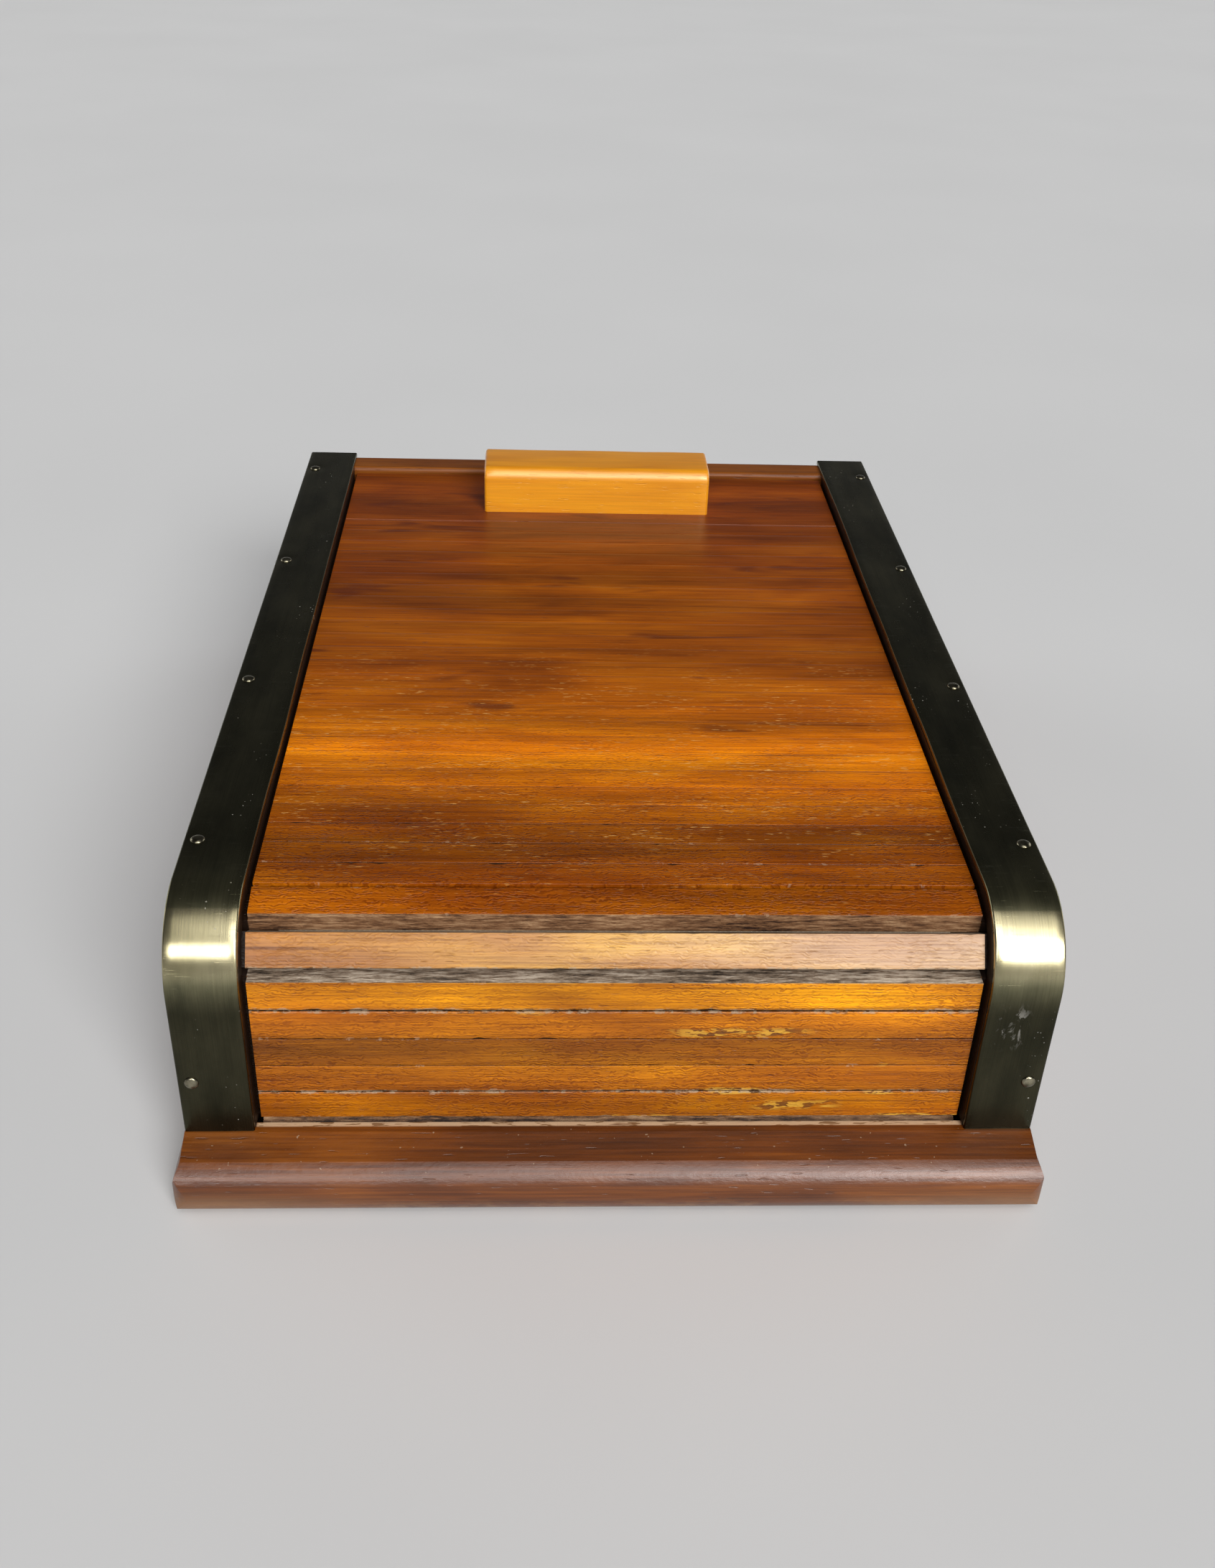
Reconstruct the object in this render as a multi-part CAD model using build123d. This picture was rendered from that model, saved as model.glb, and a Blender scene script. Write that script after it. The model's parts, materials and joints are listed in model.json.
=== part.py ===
from build123d import *
import os
from math import cos, hypot, pi, sin

# A tambour box: a wooden box whose lid is a row of narrow slats glued to cloth. The slats run in
# grooves in the side panels, along the flat top, round the front and down behind the base's lip.
# Pulled forward by its handle, the lid rolls round the front into a trough under the false floor.
# Millimetres. X is across the box, Y runs from the curved front to the back, and Z is up. The origin
# is under the middle of the box, on the surface that it stands on.

# Driving dimensions
WIDTH = 152.0  # over the side panels
BODY_DEPTH = 211.0  # front of the brass strips to the back of the box
HEIGHT = 57.5  # top of the brass strips
NOSE = 9.6  # the base's moulded edge, ahead of the brass strips
SIDE_NOSE = 1.5  # the same edge beside the side panels
BASE_T = 12.5
SIDE_T = 12.4  # also the width of the brass strips
STRIP_T = 1.0
REAR_T = 8.0
FLOOR_T = 4.4
GUARD_T = 3.0
RECESS = 2.4  # slat faces below the face of the brass
SLAT_PITCH = 6.2
SLAT_T = 4.3
SLAT_COUNT = 34
LEAD_DEPTH = 31.0  # the wide board that carries the handle
BEND_R = 8.0  # the bends of the track, on the cloth side of the slats
CLOTH_T = 0.4
HANDLE = (57.7, 16.5, 11.5)

# Fits and small features
SLAT_GAP = 0.2
SLAT_ARRIS = 0.25
SHOULDER_GAP = 0.8  # slat shoulder to side panel
TONGUE_LENGTH = 3.6  # what runs in the side panel's groove
TONGUE_T = 2.4
GROOVE_DEPTH = 4.2
GROOVE_PLAY = 0.4  # over the tongue
GROOVE_SEAT = 0.1  # under the tongue
GROOVE_EASED_R = 13.0  # its inner wall is eased at the bends, where a stiff slat cuts the corner
CLOSING_GAP = 0.4  # lead board to rear panel
TROUGH_FLOOR = 2.1
TROUGH_PLAY = 0.5
TROUGH_END_MARGIN = 4.0  # base left under the back of the false floor
FLOOR_LEDGE = 2.3  # what the false floor's edges rest on
FLOOR_SLACK = 0.1
GUARD_SETBACK = 1.8  # behind the middle of the bends
GUARD_HOUSING = 2.0
GUARD_TOP_GAP = 2.6  # under the cloth
REAR_RABBET = 3.0
REAR_EDGE_R = 1.2
STRIP_ARRIS = 0.3
CLOTH_HALF_WIDTH = 58.0
CLOTH_ON_LEAD = 9.0
HANDLE_SETBACK = 25.0  # back of the lead board to the front of the handle
HANDLE_X = 1.1  # it was fixed a little right of the middle
HANDLE_EDGE_R = 2.8
HANDLE_END_BEVEL = 0.6
NOSE_TOP_FLAT = 0.3
NOSE_CREASE = (6.0, 11.0)  # ahead of the strips, and height
NOSE_TIP_Z = 5.8
NOSE_FOOT = 5.6
NOSE_CORNER_R = 3.0

# Fasteners
PIN_HEAD_R, PIN_HEAD_H = 1.3, 0.5
PIN_SHANK_W, PIN_LENGTH = 0.9, 8.0  # a square shank, as on a cut brad
PIN_INSET = 2.4  # from the outer edge of the strip
PIN_FROM_BACK, PIN_PITCH, PIN_TOP_COUNT = 11.5, 57.8, 4
PIN_FRONT_Z = 24.0
SCREW_HEAD_R, SCREW_HEAD_H, SCREW_SHANK_R = 2.4, 1.8, 1.2
SCREW_INSET = 3.1  # base screws, from the outer face of the side panel
SCREW_POSITIONS = (-70.0, 0.0, 70.0)  # base screws along each side panel
BASE_SCREW_LENGTH = 22.0
HANDLE_SCREW_SPACING = 36.0
HANDLE_SCREW_LENGTH = 12.0
HOLE_CLEARANCE = 0.05
HINGE_TOLERANCE = 1e-6  # in finding the next hinge along the track

# Worked out from the above
HALF_W = WIDTH / 2
BASE_X = HALF_W + SIDE_NOSE
INNER_X = HALF_W - SIDE_T
BACK_Y = (BODY_DEPTH + NOSE) / 2
FRONT_Y = BACK_Y - BODY_DEPTH
REAR_INNER_Y = BACK_Y - REAR_T
RIM_R = BEND_R + SLAT_T + RECESS
WOOD_TOP_Z = HEIGHT - STRIP_T
SHOULDER_X = INNER_X - SHOULDER_GAP
TONGUE_X = INNER_X + TONGUE_LENGTH
TRACK_TOP_Z = HEIGHT - RECESS - SLAT_T
TRACK_FRONT_Y = FRONT_Y + RECESS + SLAT_T
TRACK_LOW_Z = TROUGH_FLOOR + TROUGH_PLAY + SLAT_T
BEND_Y = TRACK_FRONT_Y + BEND_R
UPPER_BEND_Z = TRACK_TOP_Z - BEND_R
LOWER_BEND_Z = TRACK_LOW_Z + BEND_R
TROUGH_R = BEND_R + SLAT_T + TROUGH_PLAY
TROUGH_X = TONGUE_X + TROUGH_PLAY
TROUGH_BACK_Y = REAR_INNER_Y - TROUGH_END_MARGIN
FLOOR_Z = BASE_T - FLOOR_SLACK - FLOOR_T
FLOOR_X = TROUGH_X + FLOOR_LEDGE
GUARD_Y = BEND_Y + GUARD_SETBACK
LEAD_BACK_Y = REAR_INNER_Y - CLOSING_GAP
HANDLE_Y = LEAD_BACK_Y - HANDLE_SETBACK + HANDLE[1] / 2
PIN_X = HALF_W - PIN_INSET


def block(x, y, z):
    """Solid between two limits on each axis"""
    sizes = [high - low for low, high in (x, y, z)]
    centre = [(low + high) / 2 for low, high in (x, y, z)]
    return Pos(*centre) * Box(*sizes)


def across(sketch, x0, x1):
    """Solid from a sketch in (y, z), between two places across the box"""
    return Pos(x0, 0, 0) * extrude(Plane.YZ * sketch, x1 - x0)


def both_sides(solid):
    """A solid and its mirror image on the other side of the box"""
    return [solid, mirror(solid, about=Plane.YZ)]


def rim_outline(inset):
    """Side view of a side panel: a rectangle with a round upper front corner"""
    depth, height = BODY_DEPTH - inset, HEIGHT - inset - BASE_T
    outline = Pos(FRONT_Y + inset + depth / 2, BASE_T + height / 2) * Rectangle(depth, height)
    corner = outline.vertices().group_by(Axis.X)[0].sort_by(Axis.Y)[-1]
    return fillet(corner, RIM_R - inset)


def groove_section():
    """Side view of the groove for the tongues, from the rear panel to below the side panel"""
    outer = TONGUE_T + GROOVE_PLAY
    over = FilletPolyline(
        (REAR_INNER_Y, TRACK_TOP_Z + outer),
        (TRACK_FRONT_Y - outer, TRACK_TOP_Z + outer),
        (TRACK_FRONT_Y - outer, TRACK_LOW_Z - outer),
        (BEND_Y + BEND_R, TRACK_LOW_Z - outer),
        radius=BEND_R + outer,
    )
    under = FilletPolyline(
        (REAR_INNER_Y, TRACK_TOP_Z - GROOVE_SEAT),
        (TRACK_FRONT_Y + GROOVE_SEAT, TRACK_TOP_Z - GROOVE_SEAT),
        (TRACK_FRONT_Y + GROOVE_SEAT, TRACK_LOW_Z + GROOVE_SEAT),
        (BEND_Y + BEND_R, TRACK_LOW_Z + GROOVE_SEAT),
        radius=GROOVE_EASED_R,
    )
    ends = [Line(over @ 0, under @ 0), Line(over @ 1, under @ 1)]
    return make_face([*over.edges(), *under.edges(), *ends])


def track_point(s):
    """Point (y, z) of the track, s mm beyond the start of the upper bend"""
    quarter = BEND_R * pi / 2
    drop = UPPER_BEND_Z - LOWER_BEND_Z
    if s < 0:
        return BEND_Y - s, TRACK_TOP_Z
    if s < quarter:
        turn = s / BEND_R
        return BEND_Y - BEND_R * sin(turn), UPPER_BEND_Z + BEND_R * cos(turn)
    s -= quarter
    if s < drop:
        return TRACK_FRONT_Y, UPPER_BEND_Z - s
    s -= drop
    if s < quarter:
        turn = s / BEND_R
        return BEND_Y - BEND_R * cos(turn), LOWER_BEND_Z - BEND_R * sin(turn)
    return BEND_Y + s - quarter, TRACK_LOW_Z


def hinge_points():
    """Where the cloth folds between slats: points of the track a slat apart, lead board first"""
    s = BEND_Y - (LEAD_BACK_Y - LEAD_DEPTH - SLAT_GAP / 2)
    points = [track_point(s)]
    for _ in range(SLAT_COUNT):
        y0, z0 = points[-1]
        near, far = s, s + 2 * SLAT_PITCH
        while far - near > HINGE_TOLERANCE:
            middle = (near + far) / 2
            y, z = track_point(middle)
            if hypot(y - y0, z - z0) < SLAT_PITCH:
                near = middle
            else:
                far = middle
        s = near
        points.append(track_point(s))
    return points


def slat_plane(front, back):
    """Plane of a slat's cloth side, from its two hinge points, facing out of the box"""
    middle = (0, (front[0] + back[0]) / 2, (front[1] + back[1]) / 2)
    outward = (0, front[1] - back[1], back[0] - front[0])
    return Plane(origin=middle, x_dir=(1, 0, 0), z_dir=outward)


def slat(depth):
    """Slat with its cloth side on XY: shouldered ends, and a tongue at each end below the face"""
    section = Polyline(
        (-TONGUE_X, 0),
        (TONGUE_X, 0),
        (TONGUE_X, TONGUE_T),
        (SHOULDER_X, TONGUE_T),
        (SHOULDER_X, SLAT_T),
        (-SHOULDER_X, SLAT_T),
        (-SHOULDER_X, TONGUE_T),
        (-TONGUE_X, TONGUE_T),
        close=True,
    )
    solid = extrude(Plane.XZ * make_face(section), depth / 2, both=True)
    face_edges = solid.edges().filter_by(Axis.X).group_by(Axis.Z)[-1]
    return chamfer(face_edges, SLAT_ARRIS)


def screw(length, clearance=0.0):
    """Countersunk screw pointing up from XY; with clearance, its hole"""
    head, shank = SCREW_HEAD_R + clearance, SCREW_SHANK_R + clearance
    tip = length + clearance
    section = Polyline((0, 0), (head, 0), (shank, SCREW_HEAD_H), (shank, tip), (0, tip), close=True)
    return revolve(Plane.XZ * make_face(section), Axis.Z)


def pin_shank(clearance=0.0):
    """Shank of a pin, down from XY; with clearance, its hole"""
    width = PIN_SHANK_W + 2 * clearance
    length = PIN_LENGTH + clearance
    return Pos(0, 0, -length / 2) * Box(width, width, length)


def pin():
    """Domed pin pointing down, the underside of its head on XY"""
    dome = TangentArc((0, PIN_HEAD_H), (PIN_HEAD_R, 0), tangent=(1, 0))
    section = Polyline(dome @ 1, (0, 0), dome @ 0)
    head = revolve(Plane.XZ * make_face([*dome.edges(), *section.edges()]), Axis.Z)
    return head + pin_shank()


def pin_places():
    """Places of the right strip's pins: along the top, and one low on the front"""
    top = [Pos(PIN_X, BACK_Y - PIN_FROM_BACK - i * PIN_PITCH, HEIGHT) for i in range(PIN_TOP_COUNT)]
    return top + [Pos(PIN_X, FRONT_Y, PIN_FRONT_Z) * Rot(X=90)]


def pin_holes():
    """Holes of the right strip's pins, through the brass and into the wood"""
    return [place * pin_shank(HOLE_CLEARANCE) for place in pin_places()]


def base_screw_places():
    """Places of the screws that hold the right side panel down"""
    return [Pos(HALF_W - SCREW_INSET, y, 0) for y in SCREW_POSITIONS]


def handle_screw_places():
    """Places of the handle's screws, from the cloth side of the lead board"""
    ends = (HANDLE_X - HANDLE_SCREW_SPACING / 2, HANDLE_X + HANDLE_SCREW_SPACING / 2)
    return [Pos(x, HANDLE_Y, TRACK_TOP_Z) for x in ends]


def base_section():
    """Section of the base across X: the rounded edges stand out beside the side panels"""
    crease_z = NOSE_CREASE[1]
    under = Line((-HALF_W, 0), (HALF_W, 0))
    right = ThreePointArc((HALF_W, 0), (BASE_X, NOSE_TIP_Z), (HALF_W, crease_z))
    over = Polyline((HALF_W, crease_z), (HALF_W, BASE_T), (-HALF_W, BASE_T), (-HALF_W, crease_z))
    left = mirror(right, about=Plane.YZ)
    return make_face([under, right, *over.edges(), *left.edges()])


def base_board():
    """Base with a rounded edge at its front and sides, and the trough that the lid rolls into"""
    crease_y, crease_z = FRONT_Y - NOSE_CREASE[0], NOSE_CREASE[1]
    foot = (FRONT_Y - NOSE_FOOT, 0)
    top = Polyline(
        foot, (BACK_Y, 0), (BACK_Y, BASE_T), (FRONT_Y - NOSE_TOP_FLAT, BASE_T), (crease_y, crease_z)
    )
    nose = ThreePointArc((crease_y, crease_z), (FRONT_Y - NOSE, NOSE_TIP_Z), foot)
    board = across(make_face([*top.edges(), *nose.edges()]), -BASE_X, BASE_X)
    plan = Rectangle(2 * BASE_X, BODY_DEPTH + NOSE)
    plan = fillet(plan.vertices().group_by(Axis.Y)[0], NOSE_CORNER_R)
    board &= extrude(plan, BASE_T)
    board &= extrude(Plane.XZ * base_section(), BACK_Y, both=True)
    bend = ThreePointArc(
        (BEND_Y, TROUGH_FLOOR),
        (BEND_Y - TROUGH_R * sin(pi / 4), LOWER_BEND_Z - TROUGH_R * cos(pi / 4)),
        (BEND_Y - TROUGH_R, LOWER_BEND_Z),
    )
    walls = Polyline(
        bend @ 1, (TROUGH_BACK_Y, LOWER_BEND_Z), (TROUGH_BACK_Y, TROUGH_FLOOR), bend @ 0
    )
    board -= across(make_face([*bend.edges(), *walls.edges()]), -TROUGH_X, TROUGH_X)
    board -= block((-FLOOR_X, FLOOR_X), (GUARD_Y - FLOOR_SLACK, REAR_INNER_Y), (FLOOR_Z, BASE_T))
    for place in base_screw_places():
        board -= both_sides(place * screw(BASE_SCREW_LENGTH, HOLE_CLEARANCE))
    return board


def side_panel():
    """Right side panel: rounded rim, groove, and housings for the guard and the rear panel"""
    panel = across(rim_outline(STRIP_T), INNER_X, HALF_W)
    panel -= across(groove_section(), INNER_X, INNER_X + GROOVE_DEPTH)
    guard_y = (GUARD_Y, GUARD_Y + GUARD_T)
    panel -= block((INNER_X, INNER_X + GUARD_HOUSING), guard_y, (BASE_T, guard_top()))
    panel -= block((INNER_X, INNER_X + REAR_RABBET), (REAR_INNER_Y, BACK_Y), (BASE_T, WOOD_TOP_Z))
    panel -= pin_holes()
    panel -= [place * screw(BASE_SCREW_LENGTH, HOLE_CLEARANCE) for place in base_screw_places()]
    return panel


def guard_top():
    """Top of the guard, which stands behind the front slats"""
    return TRACK_TOP_Z - CLOTH_T - GUARD_TOP_GAP


def brass_strip():
    """Right brass strip: flat stock bent over the rim of the side panel"""
    strip = across(rim_outline(0) - rim_outline(STRIP_T), INNER_X, HALF_W)
    outer_faces = strip.faces().filter_by(lambda face: abs(face.normal_at().X) < 0.5)
    outer_faces = outer_faces.filter_by(lambda face: face.normal_at().Z - face.normal_at().Y > 0.5)
    edges = outer_faces.edges().filter_by(lambda edge: edge.position_at(0).X == edge.position_at(1).X)
    return chamfer(edges, STRIP_ARRIS) - pin_holes()


def rear_panel():
    """Rear panel, rebated into the side panels, with eased top edges"""
    half = INNER_X + REAR_RABBET
    panel = block((-half, half), (REAR_INNER_Y, BACK_Y), (BASE_T, WOOD_TOP_Z))
    return fillet(panel.edges().filter_by(Axis.X).group_by(Axis.Z)[-1], REAR_EDGE_R)


def false_floor():
    """Floor of the compartment, over the trough, held down by the side panels"""
    half = FLOOR_X - FLOOR_SLACK
    back = REAR_INNER_Y - FLOOR_SLACK
    return block((-half, half), (GUARD_Y, back), (FLOOR_Z, FLOOR_Z + FLOOR_T))


def front_guard():
    """Upright board that keeps what is in the box off the moving slats"""
    half = INNER_X + GUARD_HOUSING - FLOOR_SLACK
    return block((-half, half), (GUARD_Y, GUARD_Y + GUARD_T), (FLOOR_Z + FLOOR_T, guard_top()))


def lead_board():
    """Wide board at the back end of the lid, drilled for the handle's screws"""
    board = Pos(0, LEAD_BACK_Y - LEAD_DEPTH / 2, TRACK_TOP_Z) * slat(LEAD_DEPTH)
    return board - [place * screw(HANDLE_SCREW_LENGTH, HOLE_CLEARANCE) for place in handle_screw_places()]


def handle():
    """Bar handle with rounded top edges and bevelled ends, screwed on from under the lead board"""
    bar = Pos(HANDLE_X, HANDLE_Y, TRACK_TOP_Z + SLAT_T + HANDLE[2] / 2) * Box(*HANDLE)
    bar = fillet(bar.edges().filter_by(Axis.X).group_by(Axis.Z)[-1], HANDLE_EDGE_R)
    ends = bar.faces().filter_by(Axis.X).edges().group_by(Axis.Z)[1:]
    bar = chamfer([edge for group in ends for edge in group], HANDLE_END_BEVEL)
    return bar - [place * screw(HANDLE_SCREW_LENGTH, HOLE_CLEARANCE) for place in handle_screw_places()]


def tambour_cloth(points):
    """Cloth on the backs of the slats, from the lead board to the last slat"""
    start = (points[0][0] + CLOTH_ON_LEAD, points[0][1])
    outer = [start, *points]
    normals = []
    for (y0, z0), (y1, z1) in zip(outer, outer[1:]):
        length = hypot(y1 - y0, z1 - z0)
        normals.append(((z1 - z0) / length, (y0 - y1) / length))
    inner = []
    for (y, z), before, after in zip(outer, normals[:1] + normals, normals + normals[-1:]):
        reach = CLOTH_T / (1 + before[0] * after[0] + before[1] * after[1])
        inner.append((y - reach * (before[0] + after[0]), z - reach * (before[1] + after[1])))
    section = make_face(Polyline(*outer, *reversed(inner), close=True))
    return across(section, -CLOTH_HALF_WIDTH, CLOTH_HALF_WIDTH)


HINGES = hinge_points()
PANEL = side_panel()
STRIP = brass_strip()
PINS = Compound(children=[place * pin() for place in pin_places()])
BASE_SCREWS = [place * screw(BASE_SCREW_LENGTH) for place in base_screw_places()]
HANDLE_SCREWS = [place * screw(HANDLE_SCREW_LENGTH) for place in handle_screw_places()]

nodes = {
    "base_board": base_board(),
    "base_screws": Compound(children=[s for one in BASE_SCREWS for s in both_sides(one)]),
    "side_panel_right": PANEL,
    "side_panel_left": mirror(PANEL, about=Plane.YZ),
    "brass_strip_right": STRIP,
    "brass_strip_left": mirror(STRIP, about=Plane.YZ),
    "strip_pins_right": PINS,
    "strip_pins_left": mirror(PINS, about=Plane.YZ),
    "rear_panel": rear_panel(),
    "false_floor": false_floor(),
    "front_guard": front_guard(),
    "lead_board": lead_board(),
    "handle": handle(),
    "handle_screws": Compound(children=HANDLE_SCREWS),
    "tambour_cloth": tambour_cloth(HINGES),
}
for number, (back, front) in enumerate(zip(HINGES, HINGES[1:]), start=1):
    nodes[f"slat_{number:02d}"] = slat_plane(front, back) * slat(SLAT_PITCH - SLAT_GAP)

os.makedirs("parts", exist_ok=True)
for name, solid in nodes.items():
    export_step(solid, f"parts/{name}.step")
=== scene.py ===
import json
from math import cos, hypot, pi, radians, sin

import bmesh
import bpy
from mathutils import Matrix, Vector, noise

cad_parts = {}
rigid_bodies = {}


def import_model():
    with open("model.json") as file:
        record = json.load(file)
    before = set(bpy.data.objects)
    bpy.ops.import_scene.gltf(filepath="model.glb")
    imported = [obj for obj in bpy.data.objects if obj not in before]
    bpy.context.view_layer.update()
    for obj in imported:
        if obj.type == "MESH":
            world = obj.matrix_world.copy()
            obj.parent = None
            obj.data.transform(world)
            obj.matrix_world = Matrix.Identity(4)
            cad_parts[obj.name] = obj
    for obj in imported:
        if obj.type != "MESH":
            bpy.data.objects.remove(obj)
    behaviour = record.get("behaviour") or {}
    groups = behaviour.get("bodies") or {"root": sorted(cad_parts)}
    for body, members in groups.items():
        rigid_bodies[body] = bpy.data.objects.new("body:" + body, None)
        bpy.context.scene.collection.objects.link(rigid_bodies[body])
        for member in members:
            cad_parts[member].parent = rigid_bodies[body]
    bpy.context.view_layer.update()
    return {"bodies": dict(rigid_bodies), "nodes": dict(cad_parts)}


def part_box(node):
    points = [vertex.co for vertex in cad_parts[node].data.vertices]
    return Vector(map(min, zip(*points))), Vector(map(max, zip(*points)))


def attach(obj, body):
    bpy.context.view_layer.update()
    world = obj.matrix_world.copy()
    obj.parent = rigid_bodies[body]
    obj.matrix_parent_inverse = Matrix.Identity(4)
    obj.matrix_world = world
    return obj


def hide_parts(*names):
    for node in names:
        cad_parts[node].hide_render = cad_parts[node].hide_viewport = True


# A tambour box: wooden slats on cloth run in grooves along the flat top, round the front and down
# behind the base's lip. Brass strips cap the sides. Metres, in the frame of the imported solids.

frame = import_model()

# Sizes that the solids' boxes don't give
BEND_R = 0.008  # bends of the lid's track, on the cloth side
TRACK_LOW_Z = 0.0069  # cloth side of the lid where it lies in the trough
SLAT_GAP = 0.0002
SHOULDER_X = 0.0628  # where a slat's face ends and its tongue starts
TONGUE_T = 0.0024
CLOTH_T = 0.0004
HANDLE_EDGE_R = 0.0028
LIP_SETBACK = 0.0019  # back of the base's lip, behind the face of the strips
HINGE_TOLERANCE = 1e-9

# Sizes that they do give
SLATS = sorted(name for name in frame["nodes"] if name.startswith("slat_"))
slat_low, slat_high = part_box(SLATS[0])
SLAT_DEPTH = slat_high.y - slat_low.y
SLAT_PITCH = SLAT_DEPTH + SLAT_GAP
SLAT_T = slat_high.z - slat_low.z
TONGUE_X = slat_high.x
TRACK_TOP_Z = slat_low.z
FIRST_HINGE_Y = slat_high.y + SLAT_GAP / 2
UPRIGHT_SLATS = SLATS[28:31]  # those that stand straight on the front
TRACK_FRONT_Y = max(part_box(name)[0].y for name in UPRIGHT_SLATS) + SLAT_T
LEAD_BACK_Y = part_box("lead_board")[1].y
strip_low, strip_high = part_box("brass_strip_right")
INNER_X, HALF_W = strip_low.x, strip_high.x
FRONT_Y, BACK_Y = strip_low.y, strip_high.y
BASE_T, HEIGHT = strip_low.z, strip_high.z
BEND_Y = TRACK_FRONT_Y + BEND_R
RIM_R = BEND_Y - FRONT_Y
STRIP_FLAT = BACK_Y - BEND_Y
STRIP_BEND = RIM_R * pi / 2
STRIP_FRONT = STRIP_FLAT + STRIP_BEND  # where a strip's upright front starts, along it from its back end
LIP_BACK_Y = FRONT_Y + LIP_SETBACK
TRACK_END_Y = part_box("rear_panel")[0].y


# Meshes

def wobble(*place):
    """Smooth noise from -1 to 1 at a place given by three numbers"""
    return noise.noise(Vector(place))


def spread(low, high, step):
    """Evenly spaced values from low to high, about a step apart"""
    count = max(1, round((high - low) / step))
    return [low + (high - low) * i / count for i in range(count + 1)]


def add_data(name, data):
    """Object in the scene, from a mesh, a line, a camera or a lamp"""
    obj = bpy.data.objects.new(name, data)
    bpy.context.scene.collection.objects.link(obj)
    return obj


def add_object(name, points, faces, crease=40):
    """Object from points and faces, shaded smooth except at creases sharper than an angle"""
    mesh = bpy.data.meshes.new(name)
    mesh.from_pydata(points, [], faces)
    shell = bmesh.new()
    shell.from_mesh(mesh)
    bmesh.ops.recalc_face_normals(shell, faces=shell.faces)
    shell.to_mesh(mesh)
    shell.free()
    mesh.shade_smooth()
    mesh.set_sharp_from_angle(angle=radians(crease))
    return add_data(name, mesh)


def ring_faces(ring_count, size, first=0):
    """Faces of a closed tube through rings of points, with a cap at each end"""
    faces = []
    for i in range(ring_count - 1):
        for j in range(size):
            a, b = first + i * size + j, first + i * size + (j + 1) % size
            faces.append((a, b, b + size, a + size))
    last = first + (ring_count - 1) * size
    faces.append(tuple(range(first, first + size)))
    faces.append(tuple(range(last, last + size)))
    return faces


def add_tube(name, rings, crease=40):
    """Closed object through rings of points"""
    points = [point for ring in rings for point in ring]
    return add_object(name, points, ring_faces(len(rings), len(rings[0])), crease)


def mark(obj, name, kind, values):
    """Stores a value for each point of an object, for its material or its modifier to read"""
    layer = obj.data.attributes.new(name, kind, "POINT")
    key = "vector" if kind == "FLOAT_VECTOR" else "value"
    flat = [part for value in values for part in value] if key == "vector" else values
    layer.data.foreach_set(key, flat)


def arc(centre, radius, start, end, count):
    """Points of an arc in a plane, angles in degrees, both ends included"""
    turns = [radians(start + (end - start) * i / count) for i in range(count + 1)]
    return [(centre[0] + radius * cos(turn), centre[1] + radius * sin(turn)) for turn in turns]


def finish_piece(obj, body, material, node):
    """Gives a piece its material and body, and hides the solid that it stands for"""
    obj.data.materials.append(material)
    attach(obj, body)
    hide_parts(node)


# The lid's track

TRACK_CORNERS = [
    (0, LEAD_BACK_Y, TRACK_TOP_Z),
    (0, TRACK_FRONT_Y, TRACK_TOP_Z),
    (0, TRACK_FRONT_Y, TRACK_LOW_Z),
    (0, TRACK_END_Y, TRACK_LOW_Z),
]
TRACK_ARC_STEPS = 48


def track_point(s):
    """Point (y, z) of the track, s beyond the back edge of the lead board at rest"""
    flat, quarter = LEAD_BACK_Y - BEND_Y, BEND_R * pi / 2
    drop = TRACK_TOP_Z - TRACK_LOW_Z - 2 * BEND_R
    upper = min(max(s - flat, 0), quarter) / BEND_R
    lower = min(max(s - flat - quarter - drop, 0), quarter) / BEND_R
    y = LEAD_BACK_Y - min(s, flat) - BEND_R * sin(upper) + BEND_R * (1 - cos(lower))
    y += max(s - flat - 2 * quarter - drop, 0)
    z = TRACK_TOP_Z - BEND_R * (1 - cos(upper)) - BEND_R * sin(lower)
    z -= min(max(s - flat - quarter, 0), drop)
    return Vector((0, y, z))


def hinge_places():
    """Where the cloth folds between slats, along the track, lead board first"""
    places = [LEAD_BACK_Y - FIRST_HINGE_Y]
    for _ in SLATS:
        start = track_point(places[-1])
        near, far = places[-1], places[-1] + 2 * SLAT_PITCH
        while far - near > HINGE_TOLERANCE:
            middle = (near + far) / 2
            if (track_point(middle) - start).length < SLAT_PITCH:
                near = middle
            else:
                far = middle
        places.append(near)
    return places


HINGES = hinge_places()


def slat_frame(number):
    """Middle of a slat's cloth side, and its directions back along the lid and out of the box"""
    back, front = track_point(HINGES[number - 1]), track_point(HINGES[number])
    along = (back - front).normalized()
    return (back + front) / 2, along, Vector((1, 0, 0)).cross(along)


def add_track():
    """The track as a hidden line, which the modifier of the slats and the cloth follows"""
    curve = bpy.data.curves.new("lid_track", "CURVE")
    curve.dimensions = "3D"
    line = curve.splines.new("POLY")
    line.points.add(len(TRACK_CORNERS) - 1)
    for point, corner in zip(line.points, TRACK_CORNERS):
        point.co = (*corner, 1)
    track = add_data("lid_track", curve)
    track.hide_render = True
    return track


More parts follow.
